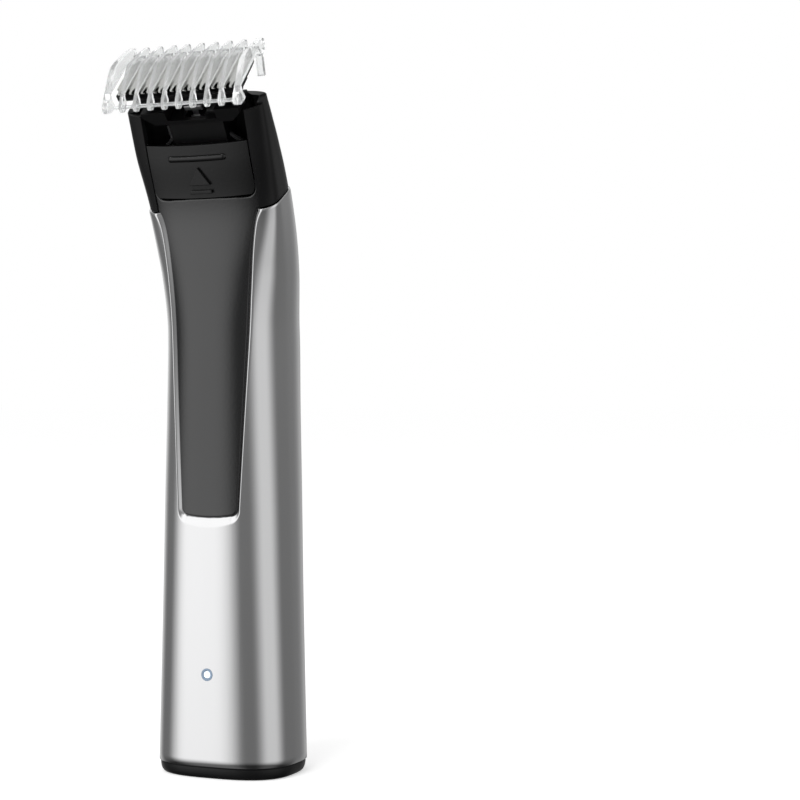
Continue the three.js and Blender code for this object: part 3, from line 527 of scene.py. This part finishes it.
def add_slider():
    corner = (PANEL_LOW, PANEL_LOW + PANEL_CORNER)
    heights = sections_between(PANEL_LOW, PANEL_HIGH, [corner], 0.9, 0.2)
    share = share_of(heights)
    rows = Sections(share)
    edge = rows.front_arc(panel_half)
    arcs = spread((0 * edge, edge - 1, 20), (edge - 1, edge, 6))
    across, depth = rows.at(arcs)
    points = mirrored(place(share, across, depth, PANEL_INSET))
    panel = sheet("release_panel", points, "slider", "panel_plastic", ["release_slider"])
    thicken(panel, PANEL_WALL)
    bevel(panel, 0.3, 3, 50)

    rings = []
    for x in RIDGE_HALF * np.linspace(-1, 1, 41):
        past = max(abs(x) - (RIDGE_HALF - RIDGE_END), 0) / RIDGE_END
        radius = RIDGE_RADIUS * math.sqrt(max(1 - past ** 2, 0.0))
        _, y, z = panel_point(x, RIDGE_Z, RIDGE_SINK)
        rings.append([(x, y + radius * math.cos(a) * RIDGE_FLATTEN, z + radius * math.sin(a))
                      for a in np.linspace(0, 2 * math.pi, 20, endpoint=False)])
    sheet("thumb_ridge", np.array(rings), "slider", "panel_plastic", closed=True)

    embossed("release_arrow", [(-2.7, 1.1), (2.7, 1.1), (0, 5.3)])
    embossed("release_bar", [(-2.8, -0.9), (2.8, -0.9), (2.8, -0.1), (-2.8, -0.1)])


MARK_DEPTHS = (-0.68, 0.6)


def embossed(name, outline):
    """A raised mark on the panel, drawn in the plane of its face."""
    points = leaning(SLIDER_FACE, [(x, y, z) for y in MARK_DEPTHS for x, z in outline])
    mark = piece(name, points, prism_faces(len(outline)), "slider", "panel_plastic")
    shade(mark, False)
    bevel(mark, 0.16, 3)


def combine(obj, operation, tool):
    """Joins a tool to the piece, or takes it away, for good."""
    step = obj.modifiers.new("step", "BOOLEAN")
    step.operation = operation
    step.object = tool
    graph = bpy.context.evaluated_depsgraph_get()
    made = bpy.data.meshes.new_from_object(obj.evaluated_get(graph))
    obj.modifiers.remove(step)
    obj.data = made
    bpy.data.objects.remove(tool)


def round_tool(low, high, radius):
    """A round bar between two points, for cutting a hole."""
    bar = bmesh.new()
    span = Vector(high) - Vector(low)
    turn = Vector((0, 0, 1)).rotation_difference(span).to_matrix().to_4x4()
    middle = Matrix.Translation((Vector(low) + Vector(high)) / 2 * MM)
    bmesh.ops.create_cone(bar, cap_ends=True, segments=48, radius1=radius * MM,
                          radius2=radius * MM, depth=span.length * MM, matrix=middle @ turn)
    mesh = bpy.data.meshes.new("tool")
    bar.to_mesh(mesh)
    return linked("tool", mesh)


# (height, inset) up the foot's wall, and (x, radius) of the holes for the contacts and screws
FOOT_PROFILE = [(0.0, 1.75), (0.04, 1.45), (0.18, 1.15), (0.45, 0.86), (0.85, 0.64), (1.35, 0.48),
                (1.9, 0.4), (2.45, 0.36), (2.62, 0.42), (2.7, 0.6), (2.7, 2.2)]
FOOT_HOLES = [(11.2, 1.95), (5.0, 1.45)]


def add_foot():
    heights, insets = np.array(FOOT_PROFILE).T[..., None]
    rows = Sections(share_of(0 * heights[:, 0]))
    across, depth = rows.at(spread((0 * rows.length, rows.length, 72)))
    points = place(rows.share, across, depth, insets)
    points[..., 2] = heights
    points = np.concatenate([points, points[:, -2:0:-1] * MIRROR], 1)
    rows_count, columns = points.shape[:2]
    faces = grid_faces(rows_count, columns, closed=True)
    faces.append(tuple(range(columns - 1, -1, -1)))
    faces.append(tuple((rows_count - 1) * columns + c for c in range(columns)))
    foot = piece("foot_cap", points, faces, "handle", "black_plastic", ["bottom_cap"])
    for side in (-1, 1):
        for x, radius in FOOT_HOLES:
            combine(foot, "DIFFERENCE", round_tool((side * x, 0, -1), (side * x, 0, 2), radius))
    shade(foot, True)
    bevel(foot, 0.12, 2, 60)


def lathe(name, profile, body, look, node):
    """A round piece about the button's axis, from a profile of (radius, y)."""
    angles = np.linspace(0, 2 * math.pi, 64, endpoint=False)
    rings = [[(r * math.cos(a), y, BUTTON_HEIGHT + r * math.sin(a)) for a in angles]
             for r, y in profile]
    sheet(name, np.array(rings), body, look, [node], closed=True)


def add_button():
    ring = [(0.98, -12.4), (0.98, -13.35), (1.04, -13.44), (1.2, -13.49), (1.36, -13.46),
            (1.46, -13.38), (1.48, -12.4)]
    key = [(0.0, -13.47), (0.4, -13.46), (0.72, -13.42), (0.82, -13.34), (0.86, -13.2),
           (0.86, -10.75)]
    lathe("power_ring", ring, "handle", "glow", "light_ring")
    lathe("power_key", key, "button", "white", "power_button")


# ---- Details between the cheeks ----


# All in the blade frame; boxes are (low corner, high corner)
BASE_OUTLINE = [(-12.6, -7.6), (-12.6, -8.9), (-10.0, -11.1),
                (10.0, -11.1), (12.6, -8.9), (12.6, -7.6)]
BASE_DEPTHS = (-4.2, 2.45)
DRIVE_ROOM = (-6.3, -6, -10.1), (6.3, 1.5, -5)
DRIVE_WINDOW = (-2.4, -3.1, -13), (2.4, 1.45, -9)
END_ROOMS = [((x, -2.6, -10.4), (x + 2.6, 1.95, -5)) for x in (-10.8, 8.2)]
SADDLE = (-2.4, -2.1, -9.3), (2.4, 1.2, -7.7)
# In the neck frame
GUSSET_OUTLINE = [(13.2, 12.3), (12.4, 12.3), (7.4, 16.3), (7.4, 17.2)]
GUSSET_DEPTHS = (-0.6, 0.4)


def box(low, high):
    """(vertices, faces) of a box in the blade frame."""
    outline = [(low[0], low[1]), (low[0], high[1]), (high[0], high[1]), (high[0], low[1])]
    corners = [(x, y, z) for z in (low[2], high[2]) for x, y in outline]
    return leaning(BLADE, corners), prism_faces(4)


def add_base():
    """The blade's base: a bar with sloping facets under its ends and a window onto the drive."""
    points = leaning(BLADE, [(x, u, v) for u in BASE_DEPTHS for x, v in BASE_OUTLINE])
    base = piece("base_block", points, prism_faces(len(BASE_OUTLINE)), "blade_unit",
                 "black_plastic", ["blade_base"])
    for corners in (DRIVE_ROOM, DRIVE_WINDOW, *END_ROOMS):
        combine(base, "DIFFERENCE", linked("tool", mesh_of("tool", *box(*corners))))
    shade(base, True)
    bevel(base, 0.22, 2, 30)


def add_head_details():
    bevel(piece("drive_saddle", *box(*SADDLE), "lever", "fastener"), 0.5, 3)
    for name, side in (("gusset_left", -1), ("gusset_right", 1)):
        corners = [(side * x, y, z) for y in GUSSET_DEPTHS for x, z in GUSSET_OUTLINE]
        gusset = piece(name, leaning(NECK, corners), prism_faces(4), "handle", "inner_plastic")
        bevel(gusset, 0.1)


# ---- Comb ----


def arc_points(start, control, end, count):
    """A curve of this many points between start and end; start itself is left out."""
    t = np.linspace(0, 1, count)[1:, None]
    a, b, c = (np.array(p, float) for p in (start, control, end))
    return [tuple(p) for p in a * (1 - t) ** 2 + 2 * b * t * (1 - t) + c * t ** 2]


def comb_outer():
    """The arched upper outline of a rib in the blade frame, from its rear foot to its front."""
    line = [(6.9, -1.8), (8.0, -1.75)]
    line += arc_points((8.0, -1.75), (8.5, -1.6), (8.9, -1.0), 5)
    line += arc_points((8.9, -1.0), (10.8, 0.6), (9.1, 1.2), 9)
    line += arc_points((9.1, 1.22), (3.6, 2.75), (1.2, 3.0), 6)
    line += arc_points((1.2, 3.0), (-0.3, 3.35), (-1.6, 2.8), 8)
    line += arc_points((-1.6, 2.8), (-5.6, 1.3), (-9.4, -0.5), 6)
    line += arc_points((-9.4, -0.5), (-10.1, -0.85), (-10.15, -1.5), 7)
    line += arc_points((-10.15, -1.5), (-10.3, -2.4), (-9.5, -2.5), 6)
    return line


# The underside of a rib and of the two end plates, back from the front foot, and the cross bars
RIB_INNER = [(-8.2, -2.4), (-7.4, -1.5), (-7.0, -0.2), (-6.6, 0.4), (6.4, 0.4), (6.8, 0.1),
             (6.9, -0.2)]
END_INNER = [(-8.0, -2.8), (-7.0, -2.7), (-6.8, -2.4), (-7.0, -1.2), (-6.5, 0.4), (6, 0.4),
             (6.2, -1.4), (4.9, -3.1), (3.8, -5.1), (4.0, -5.4), (4.7, -5.5), (4.9, -5.3),
             (6.2, -3.2)]
FRONT_BAR = [(-8.5, -2.42), (-7.9, -2.42), (-7.75, -1.95), (-8.35, -1.9)]
REAR_BAR = [(6.9, -1.79), (7.7, -1.7), (7.7, 0.2), (6.9, 0.18)]
RIB_COUNT, RIB_PITCH, RIB_HALF = 8, 3.6, 0.45
END_MIDDLE, END_HALF, BAR_END = 16.6, 0.79, 16.4


def extruded(outline, low, high):
    """(vertices, faces) of an outline in the blade frame, carried from low to high along X."""
    points = leaning(BLADE, [(x, u, v) for x in (low, high) for u, v in outline])
    return points, prism_faces(len(outline))


def joined(parts):
    """(vertices, faces) of several such parts as one."""
    vertices, faces = [], []
    for points, polygons in parts:
        faces += [tuple(i + len(vertices) for i in polygon) for polygon in polygons]
        vertices += [tuple(p) for p in points]
    return vertices, faces


def add_comb():
    outer = comb_outer()
    middles = [(i - (RIB_COUNT - 1) / 2) * RIB_PITCH for i in range(RIB_COUNT)]
    ribs = [extruded(outer + RIB_INNER, x - RIB_HALF, x + RIB_HALF) for x in middles]
    ribs += [extruded(outer + END_INNER, x - END_HALF, x + END_HALF)
             for x in (-END_MIDDLE, END_MIDDLE)]
    bars = [extruded(outline, -BAR_END, BAR_END) for outline in (FRONT_BAR, REAR_BAR)]
    comb = piece("clear_comb", *joined(ribs), "comb", "clear", ["comb"])
    combine(comb, "UNION", linked("tool", mesh_of("tool", *joined(bars))))
    shade(comb, True)
    bevel(comb, 0.16, 2, 40)


# ---- Kept CAD nodes ----

NODE_LOOKS = {
    "rubber": ["cap_seal", "drive_seal", "flex_boot"],
    "fastener": ["cap_screw_left", "cap_screw_right", "motor_screw_left", "motor_screw_right",
                 "lever_pin", "latch_wire", "slider_spring_left", "slider_spring_right",
                 "tilt_pin_left", "tilt_pin_right", "motor_shaft", "drive_lever", "cutter_spring"],
    "brass": ["charging_contact_left", "charging_contact_right", "battery_tab_lower",
              "battery_tab_upper", "crank"],
    "inner_plastic": ["tact_switch", "chassis_front", "chassis_rear", "charge_chip",
                      "motor_mount", "lever_bracket", "cutter_yoke"],
    "black_plastic": ["blade_carrier", "dock"],
    "white": ["ring_led"],
    "board": ["circuit_board"],
    "cell": ["battery"],
    "motor_can": ["motor"],
    "blade": ["guard_plate", "cutter_plate"],
}
EDGE_WIDTHS = {"dock": 0.3, "blade_carrier": 0.22, "guard_plate": 0.05, "cutter_plate": 0.05,
               "drive_lever": 0.15, "flex_boot": 0.12, "drive_seal": 0.12,
               "charging_contact_left": 0.2, "charging_contact_right": 0.2,
               "cap_screw_left": 0.15, "cap_screw_right": 0.15}


def dress_nodes():
    for look, names in NODE_LOOKS.items():
        for name in names:
            dress(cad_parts[name], look)
    for name, width in EDGE_WIDTHS.items():
        bevel(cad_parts[name], width, 2, 35)


# ---- Studio ----

# Soft boxes around the trimmer: direction from the front towards +X, half width and softness of
# the edge in degrees, then brightness
SOFT_BOXES = {
    "key": (-35, 25, 35, 1.1),
    "side": (75, 30, 40, 0.6),
    "rear_left": (-135, 20, 40, 0.6),
    "rear": (180, 15, 30, 0.3),
}
ROOM_LEVEL, SOFT_LEVEL = 0.2, 0.62  # between the boxes, and for surfaces that don't shine
DOWN_LOSS, DOWN_FLOOR = 2.1, 0.12  # room and boxes dim downwards, but not below this share
UP_GAIN = 0.2

# In metres and degrees, with the lens and sensor in millimetres. The camera stands round to the
# right and is panned a little past the trimmer
FLOOR_HALF, FLOOR_LEVEL, FLOOR_GLOW = 40.0, -0.02 * MM, 0.47
LIGHT_AIM = Vector((0, 0, 0.09))
CAMERA_DISTANCE, CAMERA_HEIGHT, CAMERA_TURN, CAMERA_PAN = 0.45, 0.0869, 27.5, 5.06
CAMERA_LENS, CAMERA_SENSOR, CAMERA_SHIFT = 84.6, 36.0, 0.006


def add_world():
    """A white backdrop. Shiny surfaces see the soft boxes, and the rest is lit evenly."""
    world = bpy.data.worlds.new("studio")
    bpy.context.scene.world = world
    world.use_nodes = True
    tree = world.node_tree
    tree.nodes.clear()
    new, link = tree.nodes.new, tree.links.new
    where = new("ShaderNodeTexCoord")
    split = new("ShaderNodeSeparateXYZ")
    link(where.outputs["Generated"], split.inputs["Vector"])

    def fill(socket, value):
        if isinstance(value, (int, float)):
            socket.default_value = value
        else:
            link(value, socket)

    def maths(operation, a, b):
        node = new("ShaderNodeMath")
        node.operation = operation
        for socket, value in zip(node.inputs, (a, b)):
            fill(socket, value)
        return node.outputs["Value"]

    def mixed(share, a, b):
        return maths("ADD", maths("MULTIPLY", share, maths("SUBTRACT", b, a)), a)

    turn = maths("ARCTAN2", split.outputs["X"], maths("MULTIPLY", split.outputs["Y"], -1.0))
    around = ROOM_LEVEL
    for centre, half, softness, brightness in SOFT_BOXES.values():
        edge = new("ShaderNodeMapRange")
        edge.interpolation_type = "SMOOTHSTEP"
        away = maths("SUBTRACT", turn, math.radians(centre))
        fill(edge.inputs["Value"], maths("PINGPONG", away, math.pi))
        fill(edge.inputs["From Min"], math.radians(half - softness / 2))
        fill(edge.inputs["From Max"], math.radians(half + softness / 2))
        fill(edge.inputs["To Min"], float(brightness))
        fill(edge.inputs["To Max"], 0.0)
        around = maths("ADD", around, edge.outputs["Result"])

    up = maths("MAXIMUM", split.outputs["Z"], 0.0)
    down = maths("MINIMUM", split.outputs["Z"], 0.0)
    dimming = maths("SUBTRACT", 1.0, maths("MULTIPLY", maths("MULTIPLY", down, down), DOWN_LOSS))
    glossy = maths("ADD", maths("MULTIPLY", around, maths("MAXIMUM", dimming, DOWN_FLOOR)),
                   maths("MULTIPLY", up, UP_GAIN))
    rays = new("ShaderNodeLightPath")
    lit = mixed(rays.outputs["Is Glossy Ray"], SOFT_LEVEL, glossy)
    seen = mixed(rays.outputs["Is Camera Ray"], lit, 1.0)
    back = new("ShaderNodeBackground")
    back.inputs["Color"].default_value = (1, 1, 1, 1)
    link(mixed(rays.outputs["Is Transmission Ray"], seen, 1.0), back.inputs["Strength"])
    out = new("ShaderNodeOutputWorld")
    link(back.outputs["Background"], out.inputs["Surface"])


def add_light(name, location, side, energy):
    data = bpy.data.lights.new(name, "AREA")
    data.size = side
    data.energy = energy
    lamp = linked(name, data)
    lamp.location = location
    lamp.rotation_mode = "QUATERNION"
    lamp.rotation_quaternion = (LIGHT_AIM - Vector(location)).to_track_quat("-Z", "Y")
    lamp.visible_glossy = False


def add_floor():
    corners = [(x * FLOOR_HALF, y * FLOOR_HALF, FLOOR_LEVEL)
               for x, y in ((-1, -1), (1, -1), (1, 1), (-1, 1))]
    mesh = bpy.data.meshes.new("floor")
    mesh.from_pydata(corners, [], [(0, 1, 2, 3)])
    floor = linked("floor", mesh)
    pale = node_material("pale floor", (0.85, 0.85, 0.85), 0.9, 0, 20, 0.05,
                         Specular_IOR_Level=0.0, Emission_Color=(1, 1, 1, 1),
                         Emission_Strength=FLOOR_GLOW)
    floor.data.materials.append(pale)
    floor.visible_glossy = False


def add_camera():
    data = bpy.data.cameras.new("camera")
    data.lens = CAMERA_LENS
    data.sensor_width = CAMERA_SENSOR
    data.shift_y = CAMERA_SHIFT
    camera = linked("camera", data)
    turn, pan = math.radians(CAMERA_TURN), math.radians(CAMERA_PAN)
    camera.location = (CAMERA_DISTANCE * math.sin(turn), -CAMERA_DISTANCE * math.cos(turn),
                       CAMERA_HEIGHT)
    camera.rotation_euler = (math.radians(90), 0, turn - pan)
    bpy.context.scene.camera = camera


add_shell()
add_front_grip()
add_rear_grip()
add_housing()
add_slider()
add_foot()
add_button()
add_base()
add_head_details()
add_comb()
dress_nodes()
add_world()
add_light("key", (-0.15, -0.9, 0.75), 0.8, 7.0)
add_floor()
add_camera()
bpy.context.scene.view_settings.view_transform = "Standard"
